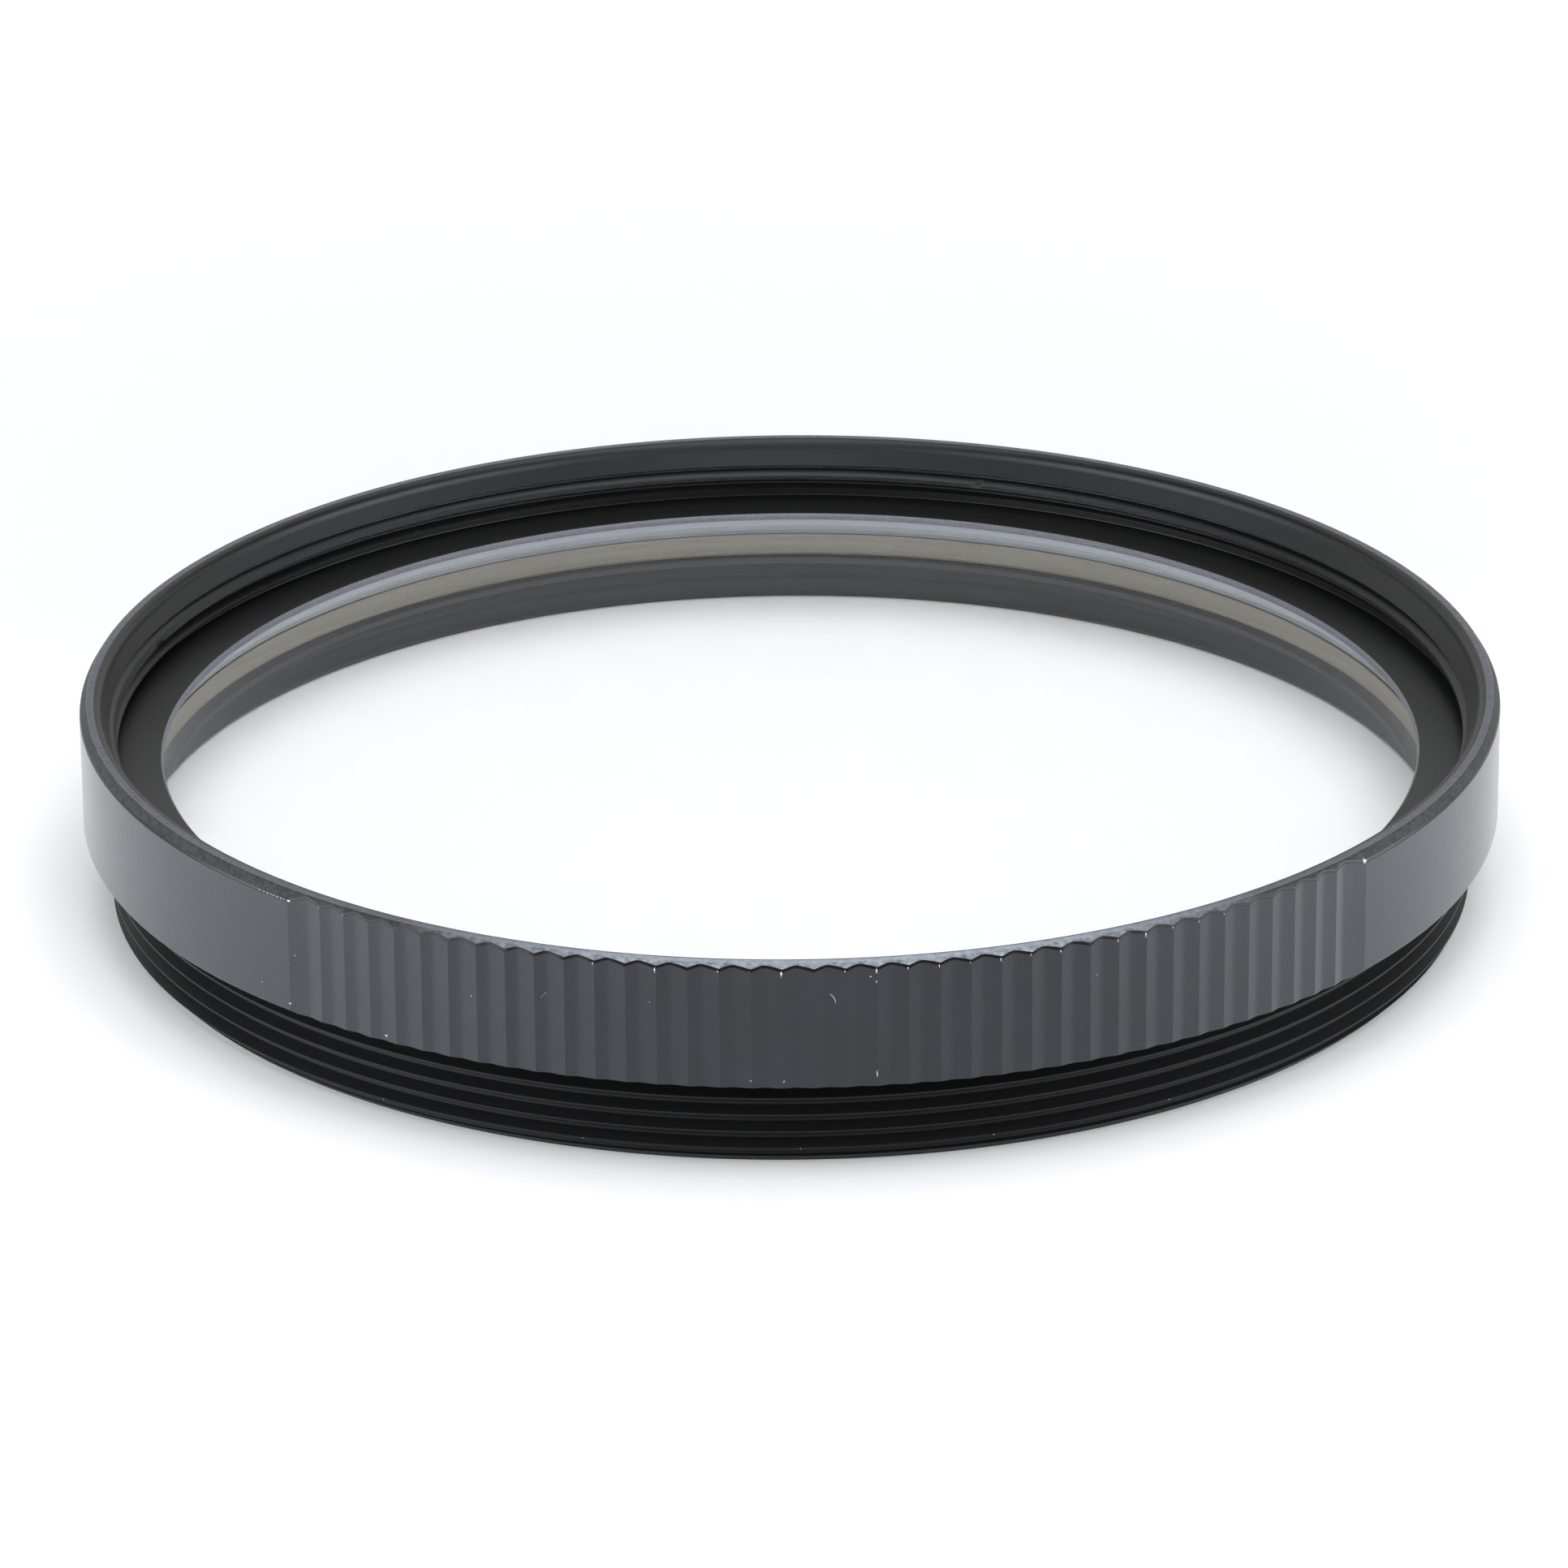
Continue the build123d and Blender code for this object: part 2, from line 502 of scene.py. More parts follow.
def make_retaining_ring():
    """Thin ring behind the glass, with spanner slots cut straight across its rear face."""
    outline = eased([
        (ring_r, (ring_rear_z + glass_rear_z) / 2),
        (ring_r, glass_rear_z),
        (ring_inner_r, glass_rear_z),
        (ring_inner_r, ring_rear_z + ring_chamfer),
        (ring_inner_r + ring_chamfer, ring_rear_z),
        (ring_r - ring_chamfer, ring_rear_z),
        (ring_r, ring_rear_z + ring_chamfer),
        (ring_r, (ring_rear_z + glass_rear_z) / 2 - edge_ease),
    ])
    slot_floor = ring_rear_z + slot_depth

    def slot_edge(slot_angle, offset, cut):
        """Section at an offset from a slot's middle, whole or cut down to the slot's floor."""
        return [
            polar(r, slot_angle + degrees(offset / r), max(z, slot_floor) if cut else z)
            for r, z in outline
        ]

    loops = []
    half = slot_width / 2
    step_count = disc_steps // slot_count
    clear = degrees(half / ring_inner_r) + slot_margin
    for slot in range(slot_count):
        slot_angle = first_slot + 360 / slot_count * slot
        loops.append(slot_edge(slot_angle, -half, False))
        loops.append(slot_edge(slot_angle, -half, True))
        loops.append(slot_edge(slot_angle, 0, True))
        loops.append(slot_edge(slot_angle, half, True))
        loops.append(slot_edge(slot_angle, half, False))
        for step in range(1, step_count):
            angle = 360 / slot_count * step / step_count
            if clear < angle < 360 / slot_count - clear:
                loops.append([polar(r, slot_angle + angle, z) for r, z in outline])
    return make_turned("slotted_retaining_ring", loops)


# Wear, dust and painted glints: chips of the black skin along the edges, specks and lint on the wall, and
# painted glints on the rear thread's last crest

Speck = namedtuple("Speck", "angle z width height")
chip_lengths = {
    0: 0.15, 1: 0.12, 10: 0.18, 12: 0.34, 14: 0.18, 15: 0.08, 16: 0.32, 18: 0.16, 19: 0.3, 20: 0.16, 21: 0.2,
    22: 0.14, 23: 0.22, 24: 0.14, 25: 0.22, 27: 0.18, 28: 0.24, 29: 0.14, 30: 0.2, 31: 0.16,
}  # how far the chip at the top of each chipped ridge runs down it
chip_slimness = 0.26
chip_drop = 0.4  # share of its length by which a chip's middle lies below its ridge's top
chip_seed = 7
dust_and_glint_seed = 11
flake_corners = 7
flake_reach = (0.6, 1.1)  # least and most reach of a corner, as shares of half the flake's size
chip_shift = 0.1  # degrees from a ridge to its chip's middle
chip_lift = 0.006  # how far a chip or speck stands out of its surface
chip_root = 0.04  # and how far it goes in
corner_chips = (Speck(46.5, 9.2, 0.32, 0.26), Speck(-46.3, 9.17, 0.22, 0.12))
edge_chip_angles = (-49.5, -49.0, -48.6, -48.2, -47.9, -47.5, -47.1, -46.8)
edge_chip_width = 0.1
edge_chip_height = 0.05
wall_specks = (
    Speck(1.86, 8.97, 0.12, 0.07), Speck(2.29, 8.74, 0.07, 0.14), Speck(2.33, 4.6, 0.06, 0.36),
    Speck(-7.26, 4.4, 0.08, 0.12), Speck(-4.75, 4.38, 0.07, 0.1), Speck(-46.4, 4.47, 0.16, 0.1),
    Speck(-45.86, 6.74, 0.06, 0.07), Speck(-49.5, 4.95, 0.06, 0.06), Speck(-29.3, 6.99, 0.08, 0.08),
    Speck(-14.93, 7.75, 0.06, 0.06), Speck(19.81, 7.86, 0.06, 0.06), Speck(-37.02, 4.3, 0.18, 0.1),
)
# pale flakes along the rear thread's last crest: painted glints, not dust
crest_glint_angles = (-38.9, -21.0, -3.5, 12.0, 27.5)
crest_glint_size = 0.06
lint_width = 0.026
lint_strokes = (
    ((-23.5, 7.42), (-23.35, 7.55), (-23.2, 7.66), (-23.1, 7.6)),
    ((-1.21, 8.24), (-1.05, 8.17), (-0.91, 8.07), (-0.83, 7.96), (-0.79, 7.85)),
)


def skin_r(columns, angle, z):
    """Radius of the ring's outside at an angle and a height, on its wall or its rim chamfer."""
    start = columns[0].angle
    wrapped = (angle - start) % 360 + start
    after = bisect_right([column.angle for column in columns], wrapped)
    first = columns[after - 1]
    second = columns[after] if after < len(columns) else columns[0]._replace(angle=start + 360)
    share = (wrapped - first.angle) / (second.angle - first.angle)
    wall_r = first.wall_r + share * (second.wall_r - first.wall_r)
    return min(wall_r, rim_outer_r + rim_chamfer_width * (rim_z - z) / rim_chamfer_height)


def crest_r(angle, z):
    """Radius of the rear thread's crests, at any angle and height."""
    return thread_r


def flake(surface_r, speck, chance):
    """Points and faces of a small closed flake, seated on a surface, with a ragged outline."""
    def seated(angle, z, lift):
        """Point that stands a little out of the surface or goes into it."""
        return polar(surface_r(angle, z) + lift, angle, z)

    points = [seated(speck.angle, speck.z, chip_lift), seated(speck.angle, speck.z, -chip_root)]
    for i in range(flake_corners):
        turn = radians(360 * i / flake_corners)
        reach = chance.uniform(*flake_reach) / 2
        angle = speck.angle + degrees(reach * speck.width * cos(turn) / mount_r)
        points.append(seated(angle, speck.z + reach * speck.height * sin(turn), 0))
    faces = []
    for i in range(flake_corners):
        here, after = 2 + i, 2 + (i + 1) % flake_corners
        faces += [(0, here, after), (1, after, here)]
    return points, faces


STRAND_CORNERS = 4  # of a strand's section


def strand(surface_r, stroke):
    """Points and faces of a thin closed strand that lies on a surface along (angle, height) places."""
    side = degrees(lint_width / 2 / mount_r)
    points, faces = [], []
    for angle, z in stroke:
        r = surface_r(angle, z)
        points += [polar(r - lint_width / 2, angle, z), polar(r, angle - side, z - lint_width / 2)]
        points += [polar(r + lint_width / 2, angle, z), polar(r, angle + side, z + lint_width / 2)]
    for step in range(len(stroke) - 1):
        for i in range(STRAND_CORNERS):
            here = STRAND_CORNERS * step + i
            after = STRAND_CORNERS * step + (i + 1) % STRAND_CORNERS
            faces.append((here, after, after + STRAND_CORNERS, here + STRAND_CORNERS))
    last = len(points) - STRAND_CORNERS
    return points, faces + [(3, 2, 1, 0), (last, last + 1, last + 2, last + 3)]


def make_scatter(name, shapes):
    """One piece from many small closed shapes, each a list of points and one of faces."""
    vertices, faces = [], []
    for points, shape_faces in shapes:
        faces += [[corner + len(vertices) for corner in face] for face in shape_faces]
        vertices += points
    return new_piece(name, vertices, faces)


def make_chips(columns):
    """Places along the outer edges where the black skin is chipped down to the metal."""
    chance = Random(chip_seed)
    surface_r = partial(skin_r, columns)
    ridge_top_z = rim_z - rim_chamfer_height * (tip_r - rim_outer_r) / rim_chamfer_width
    chips = [
        Speck(ridge(i)[0] - chip_shift, ridge_top_z - chip_drop * length, chip_slimness * length, length)
        for i, length in chip_lengths.items()
    ]
    edge_z = rim_z - rim_chamfer_height
    chips += [Speck(angle, edge_z, edge_chip_width, edge_chip_height) for angle in edge_chip_angles]
    chips += corner_chips
    return make_scatter("bare_edge_chips", [flake(surface_r, chip, chance) for chip in chips])


def make_dust_and_glints(columns):
    """Pale specks on the wall, painted glints on the rear thread's last crest, and two strokes of lint."""
    chance = Random(dust_and_glint_seed)
    surface_r = partial(skin_r, columns)
    shapes = [flake(surface_r, speck, chance) for speck in wall_specks]
    # painted glints along the last crest
    for angle in crest_glint_angles:
        speck = Speck(angle, crest_z + thread_pitch * angle / 360, crest_glint_size, crest_glint_size)
        shapes.append(flake(crest_r, speck, chance))
    shapes += [strand(surface_r, stroke) for stroke in lint_strokes]
    return make_scatter("dust_and_lint", shapes)


# Materials: their noises' sizes and their bumps' depths are millimetres

Finish = namedtuple("Finish", "dark light grain detail roughness depth")
lip_finish = Finish((0.13, 0.135, 0.155), (0.19, 0.195, 0.22), 0.1, 3.0, (0.45, 0.6), 0.003)
chip_finish = Finish((0.42, 0.43, 0.44), (0.68, 0.68, 0.68), 0.05, 2.0, (0.3, 0.5), 0.01)
# off-white of the dust and lint, and of the painted glints on the crest
dust_and_glint_finish = Finish((0.34, 0.34, 0.34), (0.54, 0.54, 0.53), 0.04, 2.0, (0.8, 0.95), 0.005)
ring_finish = Finish((0.164, 0.147, 0.115), (0.21, 0.19, 0.152), 0.1, 3.0, (0.55, 0.75), 0)
glass_finish = Finish((0.985, 0.995, 0.992), (0.993, 0.998, 0.996), 6.0, 4.0, (0.0, 0.012), 0)
ground_finish = Finish((0.33, 0.35, 0.38), (0.44, 0.465, 0.5), 0.06, 3.0, (0.6, 0.8), 0.01)
floor_finish = Finish((0.93, 0.93, 0.93), (0.94, 0.94, 0.94), 3.0, 2.0, (0.85, 0.95), 0)
usual_noise = (0.3, 0.7)  # range that most of a noise lies in
glass_index = 1.52
ground_transmission = 0.4
ring_tool_marks = 0.08
ring_depth = 0.005

wall_black = ((0.003, 0.003, 0.007), (0.006, 0.006, 0.012))
chamfer_sound = ((0.012, 0.013, 0.013), (0.035, 0.037, 0.038))
# pale mottled colour of the chamfer in front: wear, and a painted reflection of the light in front
chamfer_wear_and_sheen = ((0.12, 0.135, 0.15), (0.36, 0.39, 0.415))
# pale colour of the rim's flat face: wear, and a painted reflection that is strongest in front
rim_wear_and_sheen = ((0.26, 0.285, 0.33), (0.44, 0.48, 0.55))
back_wear_and_sheen = 0.22  # share of the front's wear and painted reflection that the rest of the rim has
edge_tilt = (0.05, 0.5)  # least and most upward tilt of the rounded edge between the wall and the chamfer
rim_pale_depth = 0.12  # height below the rim where its pale colour of wear and painted reflection begins
chamfer_depths = (0.04, 0.01)  # depths under the chamfer between which its colour sets in
front_shares = (0.8, 0.97)  # shares of the outer radius, forwards, between which the front's wear and painted reflection set in
satin_grain = 0.11
satin_patches = 2.5
satin_mottle = 0.25
satin_roughness = (0.5, 0.58)
satin_depth = 0.018
coat_roughness = 0.2
coat_index = 1.36

inner_black = ((0.003, 0.003, 0.003), (0.006, 0.006, 0.0065))
inner_grain = 0.06
inner_tool_marks = 0.05
inner_depth = 0.005  # times the roughness
gloss_spread = 0.1  # share by which the grain changes the roughness
fine_share = 0.5  # of the finer of two noises where they are added


def new_material(name):
    """Material with its node tree and its surface shader."""
    material = bpy.data.materials.new(name)
    material.use_nodes = True
    tree = material.node_tree
    return material, tree, tree.nodes["Principled BSDF"]


def add_node(tree, kind, inputs=None, **settings):
    """New node with its settings, and its inputs joined to sockets or set to values."""
    node = tree.nodes.new(kind)
    for name, value in settings.items():
        setattr(node, name, value)
    for name, value in (inputs or {}).items():
        if isinstance(value, bpy.types.NodeSocket):
            tree.links.new(value, node.inputs[name])
        else:
            node.inputs[name].default_value = value
    return node


def noise(tree, place, size, detail=2.0):
    """Noise whose patches are about a size across, in millimetres."""
    inputs = {"Vector": place, "Scale": 1 / (size * MM), "Detail": detail}
    return add_node(tree, "ShaderNodeTexNoise", inputs).outputs["Fac"]


def spread(tree, value, low, high):
    """A noise's usual range, mapped to run from low to high."""
    inputs = {"Value": value, "To Min": low, "To Max": high}
    inputs["From Min"], inputs["From Max"] = usual_noise
    return add_node(tree, "ShaderNodeMapRange", inputs).outputs["Result"]


def colours(tree, value, low, high):
    """A noise's usual range, mapped to run from one colour to another."""
    ramp = add_node(tree, "ShaderNodeValToRGB", {"Fac": value})
    for element, place, colour in zip(ramp.color_ramp.elements, usual_noise, (low, high)):
        element.position = place
        element.color = (*colour, 1)
    return ramp.outputs["Color"]


def bump(tree, height, depth):
    """Normals of a surface whose noise stands a depth high, in millimetres."""
    inputs = {"Height": height, "Distance": depth * MM, "Strength": 1.0}
    return add_node(tree, "ShaderNodeBump", inputs).outputs["Normal"]


def object_place(tree):
    """Place of a surface in its own piece, in metres."""
    return add_node(tree, "ShaderNodeTexCoord").outputs["Object"]


def turned_place(tree, place):
    """Place along a turned section, the same all the way round it, for tool marks."""
    parts = add_node(tree, "ShaderNodeSeparateXYZ", {"Vector": place}).outputs
    flat = add_node(tree, "ShaderNodeCombineXYZ", {"X": parts["X"], "Y": parts["Y"]}).outputs["Vector"]
    radius = add_node(tree, "ShaderNodeVectorMath", operation="LENGTH")
    tree.links.new(flat, radius.inputs[0])
    inputs = {"X": radius.outputs["Value"], "Z": parts["Z"]}
    return add_node(tree, "ShaderNodeCombineXYZ", inputs).outputs["Vector"]


def total(tree, first, second, share):
    """The first value plus a share of the second."""
    node = add_node(tree, "ShaderNodeMath", operation="MULTIPLY_ADD")
    tree.links.new(second, node.inputs[0])
    node.inputs[1].default_value = share
    tree.links.new(first, node.inputs[2])
    return node.outputs["Value"]


def mask(tree, value, low, high, least=0.0):
    """Share that rises from a least one to 1 while a value goes from low to high."""
    inputs = {"Value": value, "From Min": low, "From Max": high, "To Min": least}
    return add_node(tree, "ShaderNodeMapRange", inputs).outputs["Result"]


def product(tree, first, second):
    """The first value times the second."""
    node = add_node(tree, "ShaderNodeMath", operation="MULTIPLY")
    tree.links.new(first, node.inputs[0])
    tree.links.new(second, node.inputs[1])
    return node.outputs["Value"]


def blend(tree, share, first, second):
    """Colour that goes from the first to the second with a share."""
    node = add_node(tree, "ShaderNodeMix", {"Factor": share}, data_type="RGBA")
    tree.links.new(first, node.inputs["A"])
    tree.links.new(second, node.inputs["B"])
    return node.outputs["Result"]


def grainy(name, finish):
    """Material whose colour, roughness and relief, if it has any, follow one grain."""
    material, tree, shader = new_material(name)
    place = object_place(tree)
    grain = noise(tree, place, finish.grain, finish.detail)
    tree.links.new(colours(tree, grain, finish.dark, finish.light), shader.inputs["Base Color"])
    tree.links.new(spread(tree, grain, *finish.roughness), shader.inputs["Roughness"])
    if finish.depth:
        tree.links.new(bump(tree, grain, finish.depth), shader.inputs["Normal"])
    return material, tree, shader


def satin_colour(tree, place, patches):
    """Black of the ring's walls, paler on the chamfer and worn on the rim; towards the front the chamfer and
    rim are paler still, with painted reflection as well as wear.
    """
    mottle = noise(tree, place, satin_mottle, detail=5.0)
    across = add_node(tree, "ShaderNodeSeparateXYZ", {"Vector": place}).outputs["Y"]
    section = add_node(tree, "ShaderNodeSeparateXYZ", {"Vector": turned_place(tree, place)}).outputs
    slope = rim_chamfer_width / rim_chamfer_height
    chamfer_line = total(tree, section["X"], section["Z"], slope)
    chamfer_level = rim_outer_r + slope * rim_z
    on_chamfer = mask(tree, chamfer_line, *((chamfer_level - depth) * MM for depth in chamfer_depths))
    on_rim = mask(tree, section["Z"], (rim_z - rim_pale_depth) * MM, (rim_z - edge_ease) * MM)
    # Paler chamfer and rim towards the front: painted reflection as well as wear
    in_front = mask(tree, across, *(-share * mount_r * MM for share in front_shares))
    rim_share = product(tree, on_rim, mask(tree, in_front, 0, 1, back_wear_and_sheen))
    sound = colours(tree, mottle, *chamfer_sound)
    chamfer = blend(tree, in_front, sound, colours(tree, mottle, *chamfer_wear_and_sheen))
    wall = colours(tree, patches, *wall_black)
    wall_and_rim = blend(tree, rim_share, wall, colours(tree, mottle, *rim_wear_and_sheen))
    return blend(tree, on_chamfer, wall_and_rim, chamfer)


def satin_black(name, index, coat):
    """Satin black anodised aluminium of the ring's outside."""
    material, tree, shader = new_material(name)
    place = object_place(tree)
    grain = noise(tree, place, satin_grain, detail=3.0)
    patches = noise(tree, place, satin_patches, detail=4.0)
    gloss = spread(tree, total(tree, patches, grain, fine_share), *satin_roughness)
    tree.links.new(satin_colour(tree, place, patches), shader.inputs["Base Color"])
    tree.links.new(gloss, shader.inputs["Roughness"])
    tree.links.new(bump(tree, grain, satin_depth), shader.inputs["Normal"])
    shader.inputs["IOR"].default_value = index
    shader.inputs["Coat Weight"].default_value = coat
    shader.inputs["Coat Roughness"].default_value = coat_roughness
    shader.inputs["Coat IOR"].default_value = coat_index
    return material


def turned_black(name, roughness, index):
    """Black anodised aluminium inside, in the threads and on the wall's top edge, with fine tool marks."""
    material, tree, shader = new_material(name)
    place = object_place(tree)
    grain = noise(tree, place, inner_grain)
    tool_marks = noise(tree, turned_place(tree, place), inner_tool_marks, detail=1.0)
    gloss = spread(tree, grain, (1 - gloss_spread) * roughness, (1 + gloss_spread) * roughness)
    relief = bump(tree, total(tree, grain, tool_marks, fine_share), inner_depth * roughness)
    tree.links.new(colours(tree, grain, *inner_black), shader.inputs["Base Color"])
    tree.links.new(gloss, shader.inputs["Roughness"])
    tree.links.new(relief, shader.inputs["Normal"])
    shader.inputs["IOR"].default_value = index
    return material


def pale_lip():
    """Thin edge of the flange's lip, painted a pale blue-grey."""
    return grainy("worn_lip", lip_finish)[0]


def bare_metal():
    """Bright aluminium where the anodised skin is chipped off."""
    material, tree, shader = grainy("bare_aluminium", chip_finish)
    shader.inputs["Metallic"].default_value = 1.0
    return material


def pale_dust():
    """Off-white dust and lint, also used for the painted glints on the thread's crest."""
    return grainy("pale_dust", dust_and_glint_finish)[0]


def dull_metal():
    """Plain aluminium of the retaining ring, dull and a little warm, with tool marks."""
    material, tree, shader = grainy("plain_aluminium", ring_finish)
    tool_marks = noise(tree, turned_place(tree, object_place(tree)), ring_tool_marks, detail=1.0)
    tree.links.new(bump(tree, tool_marks, ring_depth), shader.inputs["Normal"])
    return material


def polished_glass():
    """Clear glass with a trace of haze on its faces."""
    material, tree, shader = grainy("clear_glass", glass_finish)
    shader.inputs["Transmission Weight"].default_value = 1.0
    shader.inputs["IOR"].default_value = glass_index
    return material


def ground_glass():
    """Frosted edge of the glass, left by grinding."""
    material, tree, shader = grainy("ground_glass", ground_finish)
    shader.inputs["Transmission Weight"].default_value = ground_transmission
    shader.inputs["IOR"].default_value = glass_index
    return material


def seen_directly(tree):
    """1 for what the camera sees, straight or in metal and glass, and 0 for light on other surfaces."""
    path = add_node(tree, "ShaderNodeLightPath").outputs
    seen = path["Is Camera Ray"]
    for ray in ("Is Glossy Ray", "Is Transmission Ray"):
        either = add_node(tree, "ShaderNodeMath", operation="MAXIMUM")
        tree.links.new(seen, either.inputs[0])
        tree.links.new(path[ray], either.inputs[1])
        seen = either.outputs["Value"]
    return seen


def clear_from_below(tree, shader):
    """Make a surface clear where it is seen from its back."""
    from_below = add_node(tree, "ShaderNodeNewGeometry").outputs["Backfacing"]
    clear = add_node(tree, "ShaderNodeBsdfTransparent").outputs["BSDF"]
    either_side = add_node(tree, "ShaderNodeMixShader", {"Fac": from_below})
    tree.links.new(shader.outputs["BSDF"], either_side.inputs[1])
    tree.links.new(clear, either_side.inputs[2])
    tree.links.new(either_side.outputs["Shader"], tree.nodes["Material Output"].inputs["Surface"])


def pale_floor_material():
    """Plain white sheet, whiter to the camera away from the object, and clear from below."""
    material, tree, shader = grainy("pale_floor", floor_finish)
    shader.inputs["Specular IOR Level"].default_value = 0.0
    reach = add_node(tree, "ShaderNodeVectorMath", operation="LENGTH")
    tree.links.new(object_place(tree), reach.inputs[0])
    glow = mask(tree, reach.outputs["Value"], glow_start * MM, glow_full * MM, floor_glow)
    tree.links.new(product(tree, seen_directly(tree), glow), shader.inputs["Emission Strength"])
    shader.inputs["Emission Color"].default_value = (1, 1, 1, 1)
    clear_from_below(tree, shader)
    return material


def dress_metal(piece, node, material):
    """A piece that stands for a metal solid."""
    piece.data.materials.append(material)
    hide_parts(node)


def mount_finish(r, z, tilt):
    """Name of the ring's finish on a face at a radius and a height, with an upward tilt."""
    if r > rim_outer_r and tilt > edge_tilt[0]:
        return "edge" if tilt < edge_tilt[1] else "chamfer"
    if r > rim_inner_r - edge_ease and z > shoulder_z:
        return "wall"
    if z > entry_z:
        return "entry"
    if r < ring_bore_r + edge_ease and z < seat_z:
        return "bore"
    if z < shoulder_z:
        return "thread"
    if r < lip_r + lip_bevel:
        return "lip"
    return "inside"


def dress_mount(piece):
    """The turned ring: satin outside, blacks of other gloss inside, in the threads and on its edges."""
    finishes = {
        "wall": satin_black("satin_black", index=1.36, coat=1.0),
        "chamfer": satin_black("chamfer_black", index=1.25, coat=0.0),
        "inside": turned_black("inner_black", roughness=0.45, index=1.45),
        "entry": turned_black("entry_black", roughness=0.45, index=1.45),
        "bore": turned_black("bore_black", roughness=0.12, index=1.55),
        "thread": turned_black("thread_black", roughness=0.5, index=1.3),
        "edge": turned_black("edge_black", roughness=0.3, index=1.22),
        "lip": pale_lip(),
    }
    for material in finishes.values():
        piece.data.materials.append(material)
    order = list(finishes)
    for face in piece.data.polygons:
        r = hypot(face.center.x, face.center.y) / MM
        face.material_index = order.index(mount_finish(r, face.center.z / MM, face.normal.z))
    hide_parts("filter_mount")


def dress_small(piece, material):
    """Small wear, or dust with painted glints, that lies on the ring."""
    piece.data.materials.append(material)


def dress_glass(piece):
    """The disc, with a ground edge, and lamps shining through it."""
    piece.data.materials.append(polished_glass())
    piece.data.materials.append(ground_glass())
    for face in piece.data.polygons:
        middle = face.center
        on_edge = hypot(middle.x, middle.y) > (glass_r - glass_bevel) * MM
        face.material_index = 1 if on_edge else 0
    piece.visible_shadow = False
    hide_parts("glass_disc")


# Stage: floor, light and camera

floor_r = 1000
floor_bend = 1000  # radius by which the sheet curves up at its edge
floor_rise = 70  # degrees of that curve
backdrop_distance = 1500  # behind the object, and to each side of its middle
backdrop_bottom = 760  # the glass mirrors the dark gap between this and the curved sheet
backdrop_top = 2600
floor_gap = 0.01  # below the object
floor_steps = 96
bend_steps = 8
Lamp = namedtuple("Lamp", "name size distance azimuth elevation radiance")
lamps = [
    Lamp("top", (620, 560), 650, 90, 86, 2.9),
    Lamp("front", (320, 220), 650, 0, 46, 4.2),
    Lamp("left", (120, 30), 112, -68, 7.8, 12.0),
    Lamp("right", (120, 30), 112, 68, 7.8, 11.0),
]
lamp_colour = (0.94, 0.96, 1.0)
world_colour = (0.95, 0.97, 1.0)
world_strength = 0.13
floor_glow = 0.1  # white that the floor near the object shows to the camera, and in metal and glass
glow_start = 50  # from the axis to where that white begins to rise
glow_full = 420  # and to where it is full

view_distance = 394.7
view_elevation = 21.97
view_azimuth = -4.1
view_roll = -0.42
aim_left = 0.2475
aim_below = 4.571
focal_length = 205.9
sensor_width = 36.0
view_near = 10


def direction(azimuth, elevation):
    """Unit vector from the object towards an angle round it and an elevation above it."""
    return polar(cos(radians(elevation)), azimuth, sin(radians(elevation))) / MM


def add_stage(name, corners, faces, material):
    """Smooth sheet of the studio."""
    mesh = bpy.data.meshes.new(name)
    mesh.from_pydata(corners, [], faces)
    mesh.polygons.foreach_set("use_smooth", [True] * len(mesh.polygons))
    mesh.materials.append(material)
    sheet = bpy.data.objects.new(name, mesh)
    bpy.context.scene.collection.objects.link(sheet)


def add_floor(material):
    """White round sheet just under the object, curved up at its edge."""
    turns = [radians(floor_rise * step / bend_steps) for step in range(bend_steps + 1)]
    profile = [(floor_r + floor_bend * sin(turn), floor_bend * (1 - cos(turn))) for turn in turns]
    corners = [Vector((0, 0, -floor_gap)) * MM]
    for r, z in profile:
        corners += [polar(r, 360 * step / floor_steps, z - floor_gap) for step in range(floor_steps)]
    faces = [(0, 1 + step, 1 + (step + 1) % floor_steps) for step in range(floor_steps)]
    for first in range(1, 1 + bend_steps * floor_steps, floor_steps):
        for step in range(floor_steps):
            here, after = first + step, first + (step + 1) % floor_steps
            faces.append((here, here + floor_steps, after + floor_steps, after))
    add_stage("floor", corners, faces, material)


def add_backdrop(material):
    """White sheet high behind the object, which shows in its rim and its ledge."""
    corners = [
        Vector((side * backdrop_distance, backdrop_distance, z)) * MM
        for z, sides in ((backdrop_bottom, (-1, 1)), (backdrop_top, (1, -1)))
        for side in sides
    ]
    add_stage("backdrop", corners, [(0, 1, 2, 3)], material)


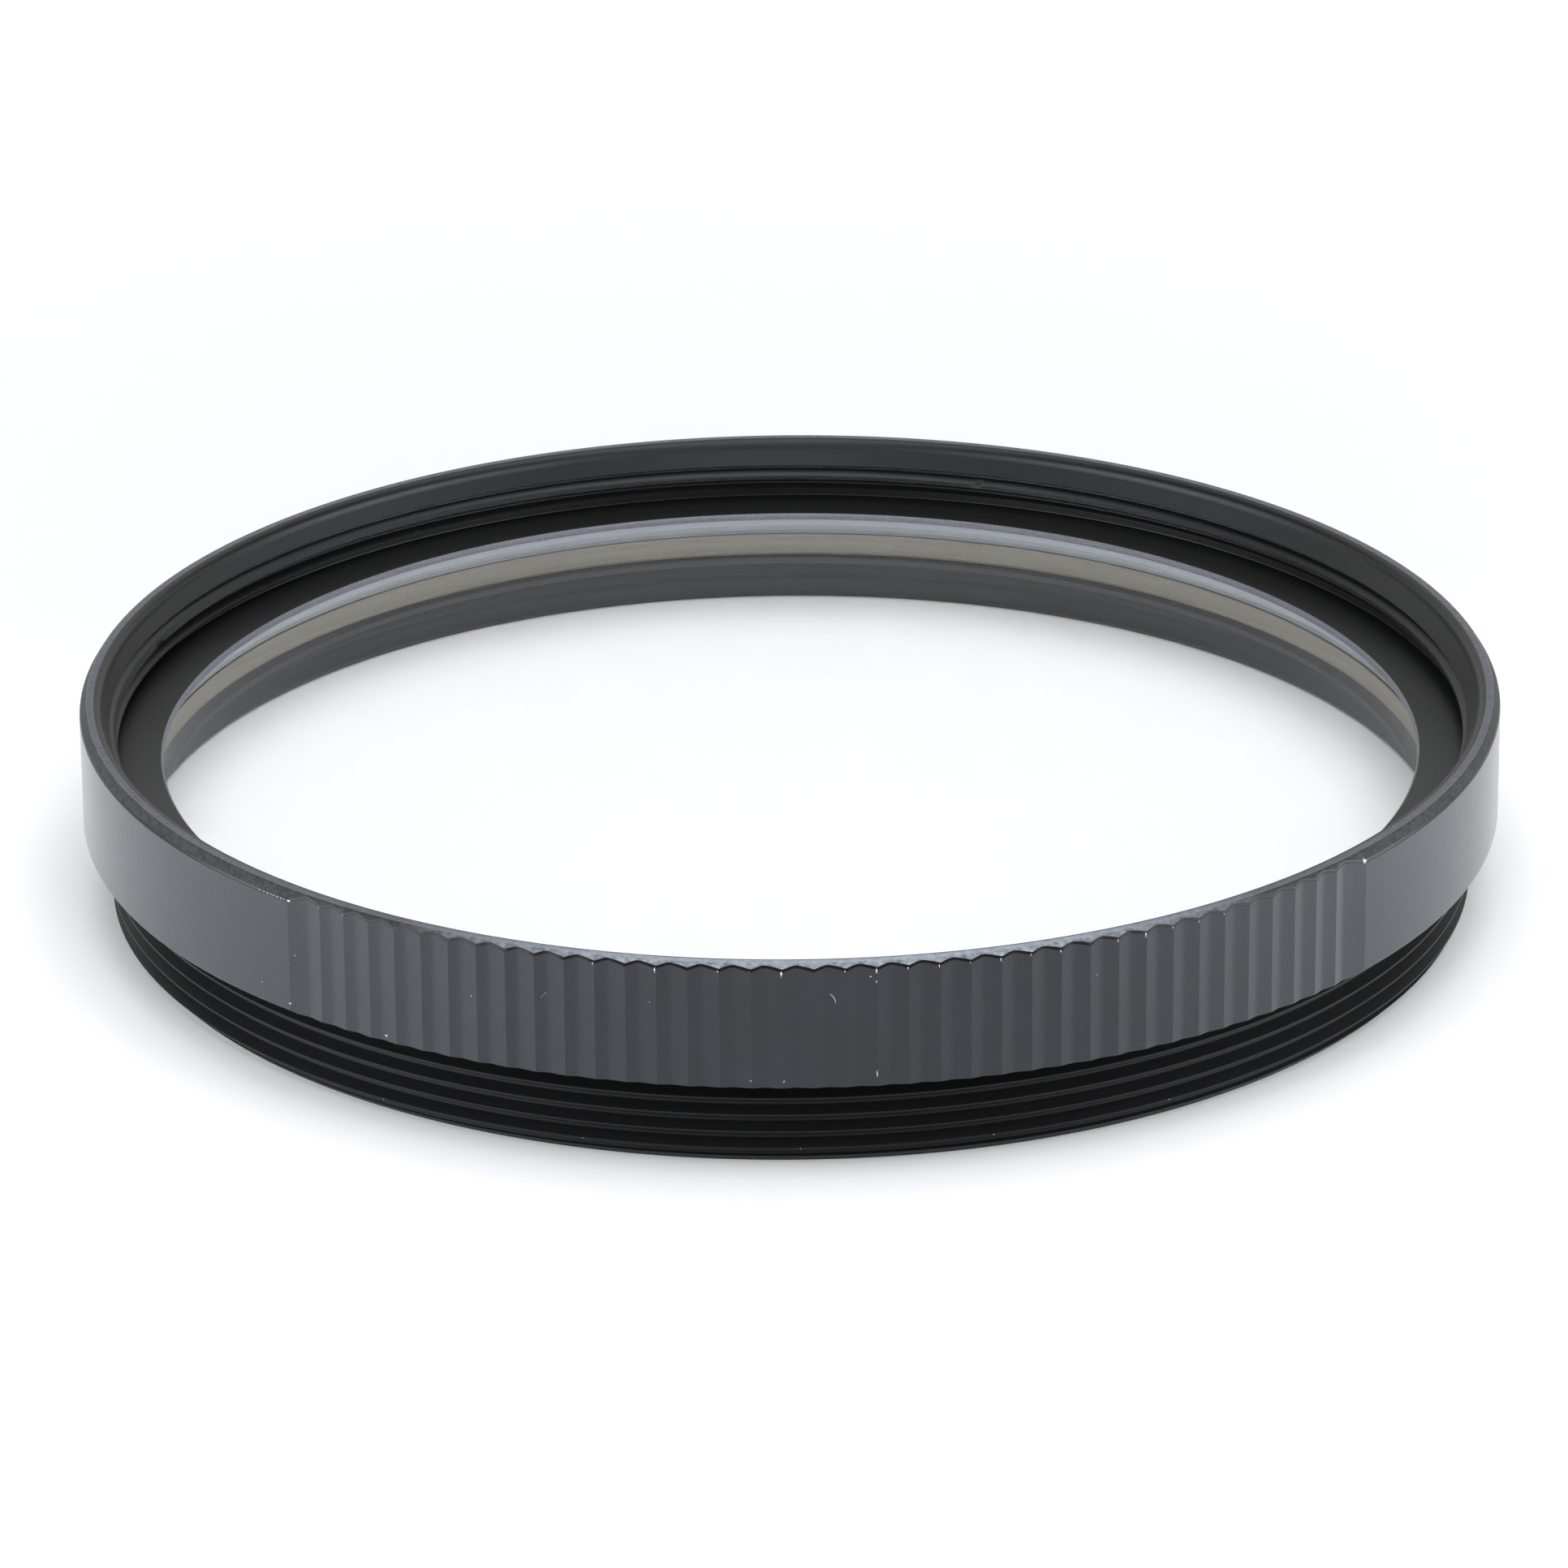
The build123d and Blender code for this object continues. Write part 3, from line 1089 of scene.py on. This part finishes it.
def add_lamp(lamp):
    """Soft rectangular lamp that faces the object."""
    data = bpy.data.lights.new(lamp.name, "AREA")
    data.shape = "RECTANGLE"
    data.size = lamp.size[0] * MM
    data.size_y = lamp.size[1] * MM
    data.energy = lamp.radiance * pi * data.size * data.size_y
    data.color = lamp_colour
    light = bpy.data.objects.new(lamp.name, data)
    away = direction(lamp.azimuth, lamp.elevation)
    light.location = away * lamp.distance * MM
    light.rotation_euler = away.to_track_quat("Z", "Y").to_euler()
    bpy.context.scene.collection.objects.link(light)


def add_world():
    """Dim, even light from all round."""
    world = bpy.data.worlds.new("studio")
    world.use_nodes = True
    background = world.node_tree.nodes["Background"]
    background.inputs["Color"].default_value = (*world_colour, 1)
    background.inputs["Strength"].default_value = world_strength
    bpy.context.scene.world = world


def add_camera():
    """Camera at the photograph's angle, turned a little below the rim's centre and rolled."""
    target = Vector((0, 0, rim_z))
    away = direction(view_azimuth, view_elevation)
    eye = target + away * view_distance
    level_right = Vector((0, 0, 1)).cross(away).normalized()
    level_up = away.cross(level_right)
    roll = radians(view_roll)
    right = cos(roll) * level_right + sin(roll) * level_up
    up = cos(roll) * level_up - sin(roll) * level_right
    back = (eye - (target - right * aim_left - up * aim_below)).normalized()
    right = up.cross(back).normalized()
    up = back.cross(right)

    data = bpy.data.cameras.new("camera")
    data.sensor_width = sensor_width
    data.lens = focal_length
    data.clip_start = view_near * MM
    camera = bpy.data.objects.new("camera", data)
    camera.matrix_world = Matrix.Translation(eye * MM) @ Matrix((right, up, back)).transposed().to_4x4()
    bpy.context.scene.collection.objects.link(camera)
    bpy.context.scene.camera = camera


columns = ring_columns()
dress_mount(make_mount(columns))
dress_metal(make_retaining_ring(), "retaining_ring", dull_metal())
dress_glass(make_glass())
dress_small(make_chips(columns), bare_metal())
dress_small(make_dust_and_glints(columns), pale_dust())

white_sheet = pale_floor_material()
add_floor(white_sheet)
add_backdrop(white_sheet)
for lamp in lamps:
    add_lamp(lamp)
add_world()
add_camera()
bpy.context.scene.view_settings.view_transform = "Standard"
